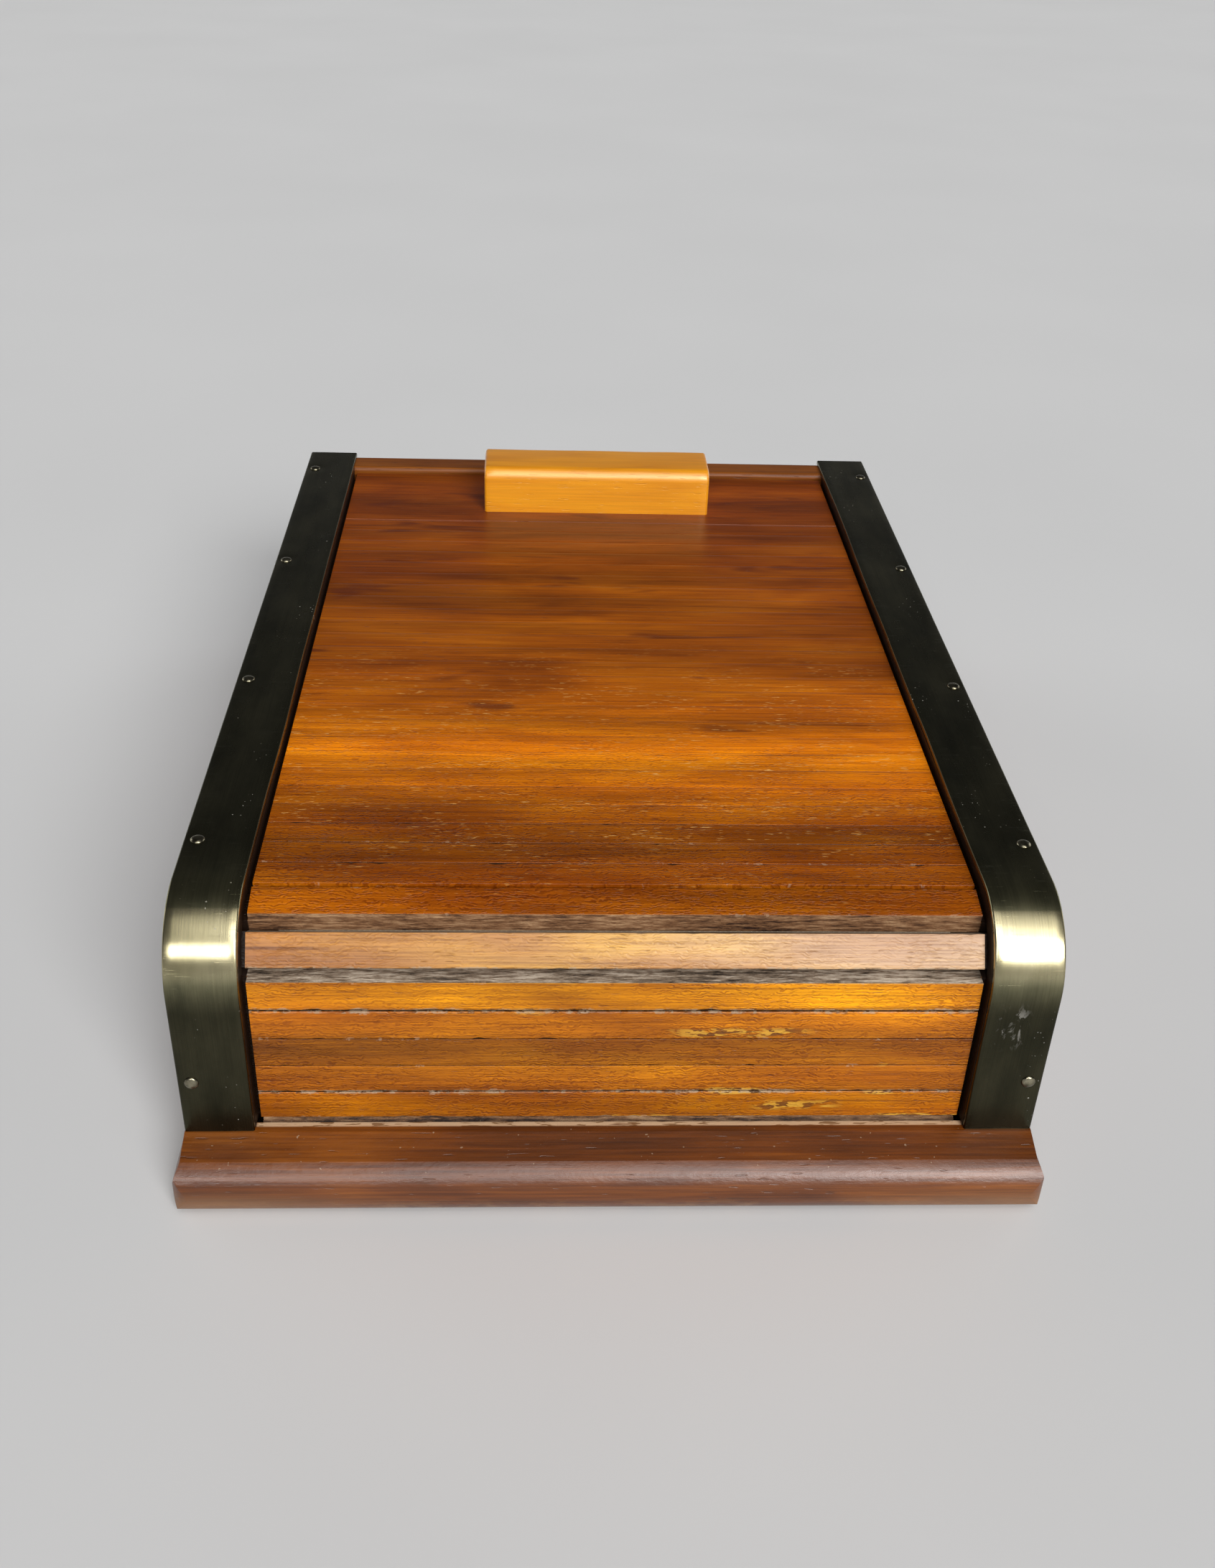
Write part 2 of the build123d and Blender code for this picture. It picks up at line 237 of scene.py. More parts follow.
class NodeTree:
    """A node tree, with short calls to add nodes and join them"""

    def __init__(self, tree):
        self.tree = tree

    def put(self, socket, value):
        """Joins a socket to another one's output, or gives it a value"""
        if isinstance(value, bpy.types.NodeSocket):
            self.tree.links.new(value, socket)
        else:
            socket.default_value = value

    def node(self, kind, *inputs, **settings):
        """Adds a node; inputs are (socket, value) pairs"""
        node = self.tree.nodes.new(kind)
        for name, value in settings.items():
            setattr(node, name, value)
        for key, value in inputs:
            self.put(node.inputs[key], value)
        return node

    def math(self, operation, a, b=0.0, clamp=False):
        node = self.node("ShaderNodeMath", (0, a), (1, b), operation=operation, use_clamp=clamp)
        return node.outputs[0]

    def vector(self, operation, a, b=(0, 0, 0)):
        node = self.node("ShaderNodeVectorMath", (0, a), (1, b), operation=operation)
        return node.outputs["Value" if operation == "DOT_PRODUCT" else "Vector"]

    def scaled(self, vector, factor):
        node = self.node("ShaderNodeVectorMath", (0, vector), ("Scale", factor), operation="SCALE")
        return node.outputs["Vector"]

    def parts(self, vector):
        return self.node("ShaderNodeSeparateXYZ", (0, vector)).outputs

    def step(self, value, low, high, start=0.0, end=1.0):
        """From start at low to end at high and smooth between them; high may be the lower one"""
        node = self.node(
            "ShaderNodeMapRange",
            ("Value", value),
            ("From Min", low),
            ("From Max", high),
            ("To Min", start),
            ("To Max", end),
            interpolation_type="SMOOTHSTEP",
        )
        return node.outputs["Result"]


def follow_track():
    """Geometry nodes that carry each slat, stiff as it is, along the track as the lid's body moves"""
    group = bpy.data.node_groups.new("follow_track", "GeometryNodeTree")
    group.interface.new_socket("Geometry", in_out="INPUT", socket_type="NodeSocketGeometry")
    group.interface.new_socket("Geometry", in_out="OUTPUT", socket_type="NodeSocketGeometry")
    net = NodeTree(group)
    source, target = net.node("NodeGroupInput"), net.node("NodeGroupOutput")
    body = net.node("GeometryNodeObjectInfo", ("Object", frame["bodies"]["lid"]))
    shift = body.outputs["Location"]
    travel = net.math("MULTIPLY", net.parts(shift)["Y"], -1.0)
    line = net.node("GeometryNodeObjectInfo", ("Object", add_track()))
    track = net.node(
        "GeometryNodeFilletCurve",
        ("Curve", line.outputs["Geometry"]),
        ("Count", TRACK_ARC_STEPS),
        ("Radius", BEND_R),
        mode="POLY",
    ).outputs["Curve"]

    def place(name, moved):
        """Where a slat's edge is on the track"""
        value = net.node("GeometryNodeInputNamedAttribute", ("Name", name)).outputs["Attribute"]
        length = net.math("ADD", value, moved)
        sample = net.node("GeometryNodeSampleCurve", ("Curves", track), ("Length", length), mode="LENGTH")
        return sample.outputs["Position"]

    def posed(moved):
        """Middle of a slat's cloth side and its two directions"""
        back, front = place("track_back", moved), place("track_front", moved)
        middle = net.scaled(net.vector("ADD", back, front), 0.5)
        along = net.vector("NORMALIZE", net.vector("SUBTRACT", back, front))
        return middle, along, net.vector("CROSS_PRODUCT", (1, 0, 0), along)

    rest_middle, rest_along, rest_out = posed(0.0)
    middle, along, out = posed(travel)
    position = net.node("GeometryNodeInputPosition").outputs["Position"]
    offset = net.vector("SUBTRACT", position, rest_middle)
    new = net.vector("ADD", middle, net.scaled((1, 0, 0), net.parts(position)["X"]))
    for rest, now in ((rest_along, along), (rest_out, out)):
        new = net.vector("ADD", new, net.scaled(now, net.vector("DOT_PRODUCT", offset, rest)))
    new = net.vector("SUBTRACT", new, shift)
    moved = net.node("GeometryNodeSetPosition", ("Geometry", source.outputs[0]), ("Position", new))
    net.put(target.inputs[0], moved.outputs[0])
    return group


FOLLOW_TRACK = follow_track()


def put_on_track(obj, slat_numbers):
    """Ties each point of an object to a slat, so that it goes along the track with it"""
    mark(obj, "track_back", "FLOAT", [HINGES[number - 1] for number in slat_numbers])
    mark(obj, "track_front", "FLOAT", [HINGES[number] for number in slat_numbers])
    obj.modifiers.new("follow_track", "NODES").node_group = FOLLOW_TRACK


# Materials

class Shader(NodeTree):
    """A material's node tree, with short calls for what the materials share"""

    def __init__(self, name):
        self.material = bpy.data.materials.new(name)
        self.material.use_nodes = True
        super().__init__(self.material.node_tree)
        self.shader = self.tree.nodes["Principled BSDF"]

    def set(self, **values):
        """Sets the shader's own sockets: Base_Color for Base Color, and so on"""
        for name, value in values.items():
            self.put(self.shader.inputs[name.replace("_", " ")], value)

    def attribute(self, name, output="Fac"):
        return self.node("ShaderNodeAttribute", attribute_name=name).outputs[output]

    def place(self):
        """Place in the solids' frame, which moves with the piece"""
        return self.node("ShaderNodeTexCoord").outputs["Object"]

    def noise(self, vector, size, detail=2.0, roughness=0.5, distortion=0.0):
        """Noise from 0 to 1; size is the length of its features along X, Y and Z"""
        stretched = self.vector("DIVIDE", vector, size)
        node = self.node(
            "ShaderNodeTexNoise",
            ("Vector", stretched),
            ("Scale", 1.0),
            ("Detail", detail),
            ("Roughness", roughness),
            ("Distortion", distortion),
        )
        return node.outputs["Fac"]

    def spots(self, vector, size, low, high, **kind):
        """Noise cut down to spots: 0 where it is below low and 1 where it is above high"""
        return self.step(self.noise(vector, size, **kind), low, high)

    def level(self, value, low, high):
        """A value from 0 to 1, mapped to a range"""
        node = self.node("ShaderNodeMapRange", ("Value", value), ("To Min", low), ("To Max", high))
        return node.outputs["Result"]

    def mix(self, factor, a, b, blend="MIX"):
        node = self.node("ShaderNodeMix", data_type="RGBA", blend_type=blend)
        self.put(node.inputs["Factor"], factor)
        for socket, value in ((node.inputs[6], a), (node.inputs[7], b)):
            self.put(socket, value if isinstance(value, bpy.types.NodeSocket) else (*value, 1.0))
        return node.outputs[2]

    def tint(self, factor, colour, tint):
        """A colour multiplied by a tint, as far as a factor says"""
        return self.mix(factor, colour, tint, "MULTIPLY")

    def inverse(self, value):
        return self.math("SUBTRACT", 1.0, value)

    def blend(self, a, b, share):
        """Two values added, a share of the second"""
        rest = self.math("MULTIPLY", a, 1.0 - share)
        return self.math("ADD", rest, self.math("MULTIPLY", b, share))

    def all_of(self, *factors):
        """Product of factors"""
        result = factors[0]
        for factor in factors[1:]:
            result = self.math("MULTIPLY", result, factor)
        return result

    def between(self, value, low, high, soft):
        """1 between two limits and 0 outside them, with soft edges"""
        rise = self.step(value, low - soft, low + soft)
        return self.all_of(rise, self.step(value, high + soft, high - soft))

    def ramp(self, factor, *stops):
        """Colour ramp through (position, colour) stops"""
        node = self.node("ShaderNodeValToRGB", ("Fac", factor))
        elements = node.color_ramp.elements
        while len(elements) < len(stops):
            elements.new(0.5)
        for element, (position, colour) in zip(elements, stops):
            element.position = position
            element.color = (*colour, 1.0)
        return node.outputs["Color"]

    def bump(self, height, distance, strength=1.0, under=None):
        """Bumps of a height in metres, on top of other bumps"""
        node = self.node(
            "ShaderNodeBump", ("Height", height), ("Distance", distance), ("Strength", strength)
        )
        if under is not None:
            self.put(node.inputs["Normal"], under)
        return node.outputs["Normal"]


PLAIN = (1.0, 1.0, 1.0)  # a tint that changes nothing
# Near black: painted shade, for the recesses under the rims and the slats' sunk tongues
PAINTED_SHADE = (0.016, 0.007, 0.003)


def wood_colour(net, place, colours, size):
    """Wood in a dark, a middle and a light colour: patches of a size along X, Y and Z, with grain"""
    patches = net.noise(place, size, detail=3.0, roughness=0.55, distortion=0.5)
    fine = tuple(part * share for part, share in zip(size, (0.7, 0.045, 0.045)))
    grain = net.noise(place, fine, detail=4.0, roughness=0.65)
    mixed = net.blend(patches, grain, 0.30)
    dark, middle, light = colours
    return net.ramp(mixed, (0.32, dark), (0.50, middle), (0.68, light)), grain


def fibre_tint(net, place, size, light, dark=(0.70, 0.66, 0.6), distortion=0.3):
    """Fine lines along the grain, and the tint that they give the wood"""
    fibres = net.noise(place, size, detail=3.0, roughness=0.6, distortion=distortion)
    return fibres, net.ramp(fibres, (0.34, dark), (0.52, PLAIN), (0.68, light))


def pores(net, place, size, amount):
    """Open pores, short dashes along the grain: 1 in a pore and 0 between them"""
    return net.spots(place, size, 1.0 - amount, 1.08 - amount, detail=1.0, roughness=0.4)


def sink_pores(net, dashes, depth, relief):
    """Sinks pores into a relief and gives it to the material"""
    net.set(Normal=net.bump(net.inverse(dashes), depth, 0.6, relief))


def slat_place(net):
    """Place (across, along the lid, height) on the unrolled lid, which each slat carries"""
    return net.attribute("lid", "Vector")


def lead_place(net):
    """The same place on the lead board, worked out from where its solid is"""
    turned = net.vector("MULTIPLY", net.place(), (1, -1, 1))
    return net.vector("ADD", turned, (0, LEAD_BACK_Y, -TRACK_TOP_Z))


PALE_SLAT = 27  # the slat on the bend, whose varnish is worn thin and whose colour carries a painted sheen, strongest on the right
PALE_START, PALE_END = HINGES[PALE_SLAT - 1], HINGES[PALE_SLAT]
# Two places along the lid, from its back edge: a look is missing at the first and full at the second
DARK_FADE = (0.100, 0.020)
BLOTCH_FADE = (0.190, 0.120)
GLOW_FADE = (0.120, 0.190)
FIGURE_FADE = (0.090, 0.175)
FLAKE_FADE = (0.196, 0.204)
# Limits of a part along the lid, and how soft they are
GOLDEN_PART = (0.120, 0.166, 0.015)
FLECKED_PART = (0.108, 0.182, 0.020)
PALE_PART = (PALE_START, PALE_END, 0.0003)


def lid_colour(net, place, along):
    """Colour of the lid's wood: red and dark at the back, golden towards the front, partly the wood's own
    tone and partly painted fall-off of light
    """
    colours = ((0.15, 0.029, 0.001), (0.28, 0.063, 0.001), (0.375, 0.100, 0.002))
    colour, grain = wood_colour(net, place, colours, (0.050, 0.014, 0.014))
    bands = net.noise(place, (0.12, 0.009, 0.02), detail=2.0)
    colour = net.tint(1.0, colour, net.ramp(bands, (0.34, (0.72,) * 3), (0.66, (1.26,) * 3)))
    # Darker towards the back and golden on the near part of the top: partly the wood's tone, partly
    # painted fall-off of light from front to back
    colour = net.tint(net.step(along, *DARK_FADE), colour, (0.74, 0.62, 0.7))
    colour = net.tint(net.between(along, *GOLDEN_PART), colour, (2.14, 2.38, 1.2))
    front = net.step(along, PALE_END - 0.001, PALE_END + 0.001)
    colour = net.tint(front, colour, (1.54, 1.92, 1.1))
    # The pale slat, brown on the left and nearly white on the right: worn varnish, with a painted sheen
    # that grows towards the right
    worn_and_sheen = net.ramp(
        net.step(net.parts(place)["X"], -SHOULDER_X, SHOULDER_X),
        (0.0, (0.36, 0.148, 0.042)),
        (0.5, (0.60, 0.310, 0.100)),
        (1.0, (0.66, 0.440, 0.260)),
    )
    worn = net.level(net.noise(place, (0.016, 0.004, 0.02), detail=3.0), 0.5, 1.1)
    colour = net.mix(net.all_of(worn, net.between(along, *PALE_PART)), colour, worn_and_sheen)
    # Bright clouds near the front, and each slat's own tone
    glow = net.noise(place, (0.042, 0.0095, 0.02), detail=1.0)
    glow = net.ramp(glow, (0.34, (0.80, 0.72, 0.7)), (0.50, PLAIN), (0.66, (1.30, 1.42, 1.1)))
    colour = net.tint(net.step(along, *GLOW_FADE), colour, glow)
    tone = net.attribute("tone")
    colour = net.scaled(colour, net.math("ADD", 1.0, tone))
    colour = net.tint(tone, colour, (1.0, 1.5, 1.0))
    # Dark blotches and long thin streaks
    blotches = net.spots(place, (0.034, 0.0055, 0.01), 0.60, 0.72, detail=2.0, distortion=0.6)
    blotches = net.all_of(blotches, net.step(along, *BLOTCH_FADE), 0.75)
    colour = net.mix(blotches, colour, (0.105, 0.018, 0.004))
    streaks = net.spots(place, (0.075, 0.0011, 0.01), 0.64, 0.74, detail=2.0)
    colour = net.mix(net.all_of(streaks, 0.5), colour, (0.095, 0.020, 0.005))
    return colour, grain


RIPPLE_PITCH = 0.00062
RIPPLE_SWING, RIPPLE_JITTER = 4.4, 1.7  # how far the ripples are pushed out of line, in pitches


def lid_figure(net, place, along):
    """Ripples in the lid's wood, which swing about the grain, and how far they show"""
    swing = net.noise(place, (0.0044, 0.0036, 0.01), detail=1.0)
    jitter = net.noise(place, (0.0010, 0.0007, 0.001), detail=1.0)
    turns = net.math("DIVIDE", along, RIPPLE_PITCH)
    turns = net.math("ADD", turns, net.all_of(swing, RIPPLE_SWING))
    turns = net.math("ADD", turns, net.all_of(jitter, RIPPLE_JITTER))
    wave = net.math("SINE", net.all_of(turns, 2 * pi))
    ripple = net.math("ADD", net.all_of(wave, 0.5), 0.5)
    patches = net.spots(place, (0.030, 0.014, 0.02), 0.30, 0.55)
    breaks = net.spots(place, (0.0016, 0.0009, 0.01), 0.40, 0.54)
    shown = net.all_of(
        net.step(along, *FIGURE_FADE),
        net.level(patches, 0.35, 1.0),
        net.level(breaks, 0.15, 1.0),
        net.level(net.between(along, *PALE_PART), 1.0, 0.45),
    )
    return ripple, shown


def slat_sides(net, place, side, colour):
    """Colour of the lid, with the sides of the slats dark, bare or dusty as they are marked"""
    grit = net.noise(place, (0.0040, 0.0006, 0.00050), detail=5.0, roughness=0.72)
    grit = net.blend(grit, net.noise(place, (0.030, 0.05, 0.05), detail=2.0), 0.30)
    raw = ((0.40, (0.035, 0.016, 0.010)), (0.50, (0.21, 0.10, 0.045)), (0.62, (0.46, 0.28, 0.15)))
    dust = ((0.40, (0.035, 0.026, 0.020)), (0.49, (0.24, 0.175, 0.12)), (0.60, (0.62, 0.53, 0.42)))
    wall = net.mix(net.step(side, 0.40, 0.60), (0.030, 0.012, 0.005), net.ramp(grit, *raw))
    wall = net.mix(net.step(side, 0.75, 0.95), wall, net.ramp(grit, *dust))
    return net.mix(net.step(side, 0.12, 0.28), colour, wall)


# Spots without varnish: place across, half their width, slat, and distance from its front edge, in slats
FLAKED_SPOTS = ((0.0215, 0.0110, 29, 0.22), (0.0330, 0.0070, 32, 0.45))
FLAKE_HALF_DEPTH, FLAKE_SOFT = 0.0010, 0.0006
FLAKE_LEFT = (-0.030, -0.005)  # left of these places across, the joints' varnish holds


def flaked_varnish(net, place, along, side, edge):
    """Where varnish has flaked off: along the joints on the front, and in torn spots"""
    across = net.parts(place)["X"]
    ragged = net.blend(edge, net.noise(place, (0.004, 0.0008, 0.001)), 0.6)
    flakes = net.all_of(
        net.spots(place, (0.022, 0.006, 0.02), 0.58, 0.66, detail=1.0),
        net.step(ragged, 0.42, 0.50),
        net.step(along, *FLAKE_FADE),
        net.step(across, *FLAKE_LEFT),
    )
    torn = net.spots(place, (0.0070, 0.0011, 0.001), 0.44, 0.52, detail=3.0, roughness=0.6)
    for spot_x, half_width, slat, share in FLAKED_SPOTS:
        middle = HINGES[slat] - share * SLAT_PITCH
        spot = net.all_of(
            net.between(across, spot_x - half_width, spot_x + half_width, half_width / 3),
            net.between(along, middle - FLAKE_HALF_DEPTH, middle + FLAKE_HALF_DEPTH, FLAKE_SOFT),
            torn,
        )
        flakes = net.math("MAXIMUM", flakes, spot)
    return net.all_of(flakes, net.step(side, 0.4, 0.2))


def lid_wear(net, place, along, colour):
    """Colour of the lid with dust, flaked varnish, worn edges and tongues darkened with painted shade, and
    its sides' marks
    """
    side, edge = net.attribute("side"), net.attribute("edge")
    colour = slat_sides(net, place, side, colour)
    flecks = net.spots(place, (0.0020, 0.0007, 0.001), 0.50, 0.56, detail=2.0)
    flakes = flaked_varnish(net, place, along, side, edge)
    flaked = net.mix(flecks, (0.66, 0.37, 0.045), (0.08, 0.035, 0.012))
    colour = net.mix(net.all_of(flakes, 0.70), colour, flaked)
    worn = net.noise(place, (0.0026, 0.002, 0.01), detail=3.0, roughness=0.7)
    dusty = net.level(net.step(worn, 0.48, 0.58), 0.15, 0.65)
    dusty = net.all_of(net.step(edge, 0.75, 0.95), dusty)
    colour = net.mix(dusty, colour, net.mix(flecks, (0.36, 0.28, 0.19), (0.06, 0.036, 0.018)))
    scuffed = net.all_of(net.step(edge, 0.30, 0.45), net.step(worn, 0.62, 0.68), 0.38)
    colour = net.mix(scuffed, colour, (0.46, 0.31, 0.20))
    # The tongues, sunk below the slats' faces, darkened with painted shade
    beyond = net.math("SUBTRACT", net.math("ABSOLUTE", net.parts(place)["X"]), SHOULDER_X)
    return net.mix(net.step(beyond, 0.00002, 0.00020), colour, PAINTED_SHADE), side


def lid_wood(name, place_of):
    """Varnished wood of the lid, which runs on from board to board"""
    net = Shader(name)
    place = place_of(net)
    along = net.parts(place)["Y"]
    colour, grain = lid_colour(net, place, along)
    ripple, figure = lid_figure(net, place, along)
    waves = net.ramp(ripple, (0.10, (0.58, 0.47, 0.34)), (0.55, PLAIN), (0.95, (1.18, 1.22, 1.1)))
    colour = net.tint(net.all_of(figure, 0.85), colour, waves)
    fibre_size, light, dark = (0.014, 0.00028, 0.0005), (1.18, 1.20, 1.1), (0.74, 0.70, 0.66)
    _, lines = fibre_tint(net, place, fibre_size, light, dark, distortion=0.0)
    colour = net.tint(1.0, colour, lines)
    # Pores, some of them pale with old polish
    dashes = pores(net, place, (0.0036, 0.00036, 0.0005), 0.31)
    colour = net.mix(net.all_of(dashes, 0.45), colour, (0.10, 0.022, 0.006))
    flecks = pores(net, place, (0.0020, 0.00024, 0.0005), 0.34)
    fleck_zone = net.spots(place, (0.020, 0.006, 0.005), 0.42, 0.58)
    flecks = net.all_of(flecks, fleck_zone, net.between(along, *FLECKED_PART))
    colour = net.mix(net.all_of(flecks, 0.75), colour, (0.80, 0.44, 0.13))
    colour, side = lid_wear(net, place, along, colour)
    gloss = net.noise(place, (0.020, 0.006, 0.01), detail=3.0)
    rough = net.math("ADD", net.level(gloss, 0.26, 0.42), net.all_of(side, 0.4), clamp=True)
    net.set(Base_Color=colour, Roughness=rough, Specular_IOR_Level=0.27)
    relief = net.bump(ripple, 0.00010, net.all_of(figure, 0.7))
    sink_pores(net, dashes, 0.00008, net.bump(grain, 0.00005, 0.4, relief))
    return net.material


PAINTED_SHADE_EDGE = (0.0100, 0.0080)  # how far under the rims the panels are darkened with painted shade, fading between the two


def rim_painted_shade(net):
    """Where the side panels are darkened with painted shade: on their inner faces, under their rims, where
    the slats run
    """
    across, depth, height = net.parts(net.place())
    ahead = net.math("MAXIMUM", net.math("SUBTRACT", BEND_Y, depth), 0.0)
    above = net.math("MAXIMUM", net.math("SUBTRACT", height, HEIGHT - RIM_R), 0.0)
    reach = net.math("ADD", net.all_of(ahead, ahead), net.all_of(above, above))
    under = net.math("SUBTRACT", RIM_R, net.math("SQRT", reach))
    inner = net.step(net.math("ABSOLUTE", across), INNER_X + 0.0012, INNER_X + 0.0004)
    return net.all_of(inner, net.step(under, *PAINTED_SHADE_EDGE))


def plain_wood(name, colours, size, roughness, along_y=False, lines=1.0, shade_mask=None):
    """Shader of the case's or the handle's wood: grain along X or Y, its lines strong or faint"""
    net = Shader(name)
    place = net.place()
    if along_y:
        turned = net.node("ShaderNodeMapping", ("Vector", place), ("Rotation", (0, 0, pi / 2)))
        place = turned.outputs[0]
    colour, grain = wood_colour(net, place, colours, size)
    fibres, tint = fibre_tint(net, place, (0.022, 0.00042, 0.00042), (1.20, 1.24, 1.2))
    colour = net.tint(lines, colour, tint)
    dashes = pores(net, place, (0.0042, 0.00034, 0.00034), 0.33)
    pore_colour = tuple(part * 0.6 for part in colours[0])
    colour = net.mix(net.all_of(dashes, 0.6 * lines), colour, pore_colour)
    # Painted shade, where the mask says
    if shade_mask:
        colour = net.mix(shade_mask(net), colour, PAINTED_SHADE)
    gloss = net.noise(place, (0.03, 0.01, 0.01), detail=3.0)
    net.set(Base_Color=colour, Roughness=net.level(gloss, *roughness), Specular_IOR_Level=0.27)
    relief = net.bump(grain, 0.00005, 0.5)
    sink_pores(net, dashes, 0.00010, net.bump(fibres, 0.00004, 0.5, relief))
    return net


def handle_wood():
    """Pale golden wood of the handle, under a polish that shines yellow"""
    colours = ((0.66, 0.225, 0.002), (0.78, 0.295, 0.003), (0.86, 0.355, 0.005))
    net = plain_wood("handle_wood", colours, (0.045, 0.004, 0.004), (0.30, 0.40), lines=0.3)
    net.set(Specular_IOR_Level=1.0, Specular_Tint=(1.0, 0.82, 0.40, 1.0))
    net.set(Coat_Weight=1.0, Coat_Roughness=0.36)
    return net.material


ARRIS_AHEAD, ARRIS_BEHIND = 0.0008, 0.0003  # the lip's worn arris, about its back edge
ARRIS_FOOT = (0.0095, 0.0105)  # heights between which it sets in
RUBBED_FADE = (0.0060, 0.0015)  # heights under which the base's edge is rubbed pale
CORNER_FADE, CORNER_TOP_FADE = (0.030, 0.074), (0.0080, 0.0030)  # rubbed ends: across, and heights


def base_wood():
    """Varnished base: grain along X, worn bare on the arris behind which the slats run"""
    net = Shader("base_wood")
    place = net.place()
    across, depth, height = net.parts(place)
    off_middle = net.math("ABSOLUTE", across)
    colours = ((0.062, 0.015, 0.001), (0.122, 0.030, 0.002), (0.195, 0.055, 0.004))
    colour, _ = wood_colour(net, place, colours, (0.040, 0.012, 0.010))
    fibres, tint = fibre_tint(net, place, (0.020, 0.0005, 0.0004), (1.25, 1.28, 1.2))
    colour = net.tint(1.0, colour, tint)
    dashes = pores(net, place, (0.0040, 0.0005, 0.0005), 0.30)
    colour = net.mix(net.all_of(dashes, 0.5), colour, (0.05, 0.016, 0.006))
    # The lip's worn arris, with cracks across it
    arris = net.all_of(
        net.between(depth, LIP_BACK_Y - ARRIS_AHEAD, LIP_BACK_Y + ARRIS_BEHIND, 0.0002),
        net.step(height, *ARRIS_FOOT),
        net.step(off_middle, INNER_X + 0.0005, INNER_X - 0.0005),
        net.spots(place, (0.014, 0.002, 0.002), 0.25, 0.42, detail=3.0, roughness=0.7),
    )
    cracks = net.spots(place, (0.0032, 0.0005, 0.0010), 0.56, 0.62, detail=2.0)
    colour = net.mix(arris, colour, net.mix(cracks, (0.56, 0.38, 0.23), (0.24, 0.13, 0.06)))
    # Rubbed edges and corners, and a few specks
    rubbed = net.spots(place, (0.005, 0.004, 0.002), 0.46, 0.62, detail=4.0, roughness=0.7)
    rubbed = net.all_of(rubbed, net.step(height, *RUBBED_FADE), 0.6)
    colour = net.mix(rubbed, colour, (0.27, 0.13, 0.04))
    corner = net.step(off_middle, *CORNER_FADE)
    corner = net.all_of(corner, net.step(height, *CORNER_TOP_FADE), 0.6)
    colour = net.mix(corner, colour, (0.30, 0.15, 0.065))
    specks = net.spots(place, (0.0006, 0.0006, 0.0006), 0.825, 0.85, detail=0.0)
    dust = net.all_of(specks, net.step(height, 0.008, 0.011))
    colour = net.mix(net.all_of(dust, 0.5), colour, (0.40, 0.30, 0.20))
    gloss = net.noise(place, (0.010, 0.003, 0.003), detail=4.0, roughness=0.65)
    rough = net.math("ADD", net.level(gloss, 0.26, 0.42), net.all_of(corner, 0.30))
    net.set(Base_Color=colour, Roughness=rough, Specular_IOR_Level=0.6)
    lumps = net.noise(place, (0.0022, 0.0013, 0.0013), detail=4.0, roughness=0.6)
    relief = net.bump(lumps, 0.00014, 0.5)
    sink_pores(net, dashes, 0.00008, net.bump(fibres, 0.00004, 0.5, relief))
    return net.material


# Places along a strip from its back end
POLISH_START, POLISH_END = STRIP_FLAT + 0.0068, STRIP_FRONT - 0.0045
POLISH_EDGE, POLISH_FADE = 0.0003, 0.0022  # half the lengths in which the polish starts and ends
PALER_FROM = POLISH_START - 0.018
FOOT_FADE = (STRIP_FRONT - 0.006, STRIP_FRONT + 0.004)
SCUFF_X, SCUFF_ALONG = 0.0685, STRIP_FRONT + 0.0060  # a patch on the right strip's front
SCUFF_HALF_W, SCUFF_HALF_L = 0.0024, 0.0040


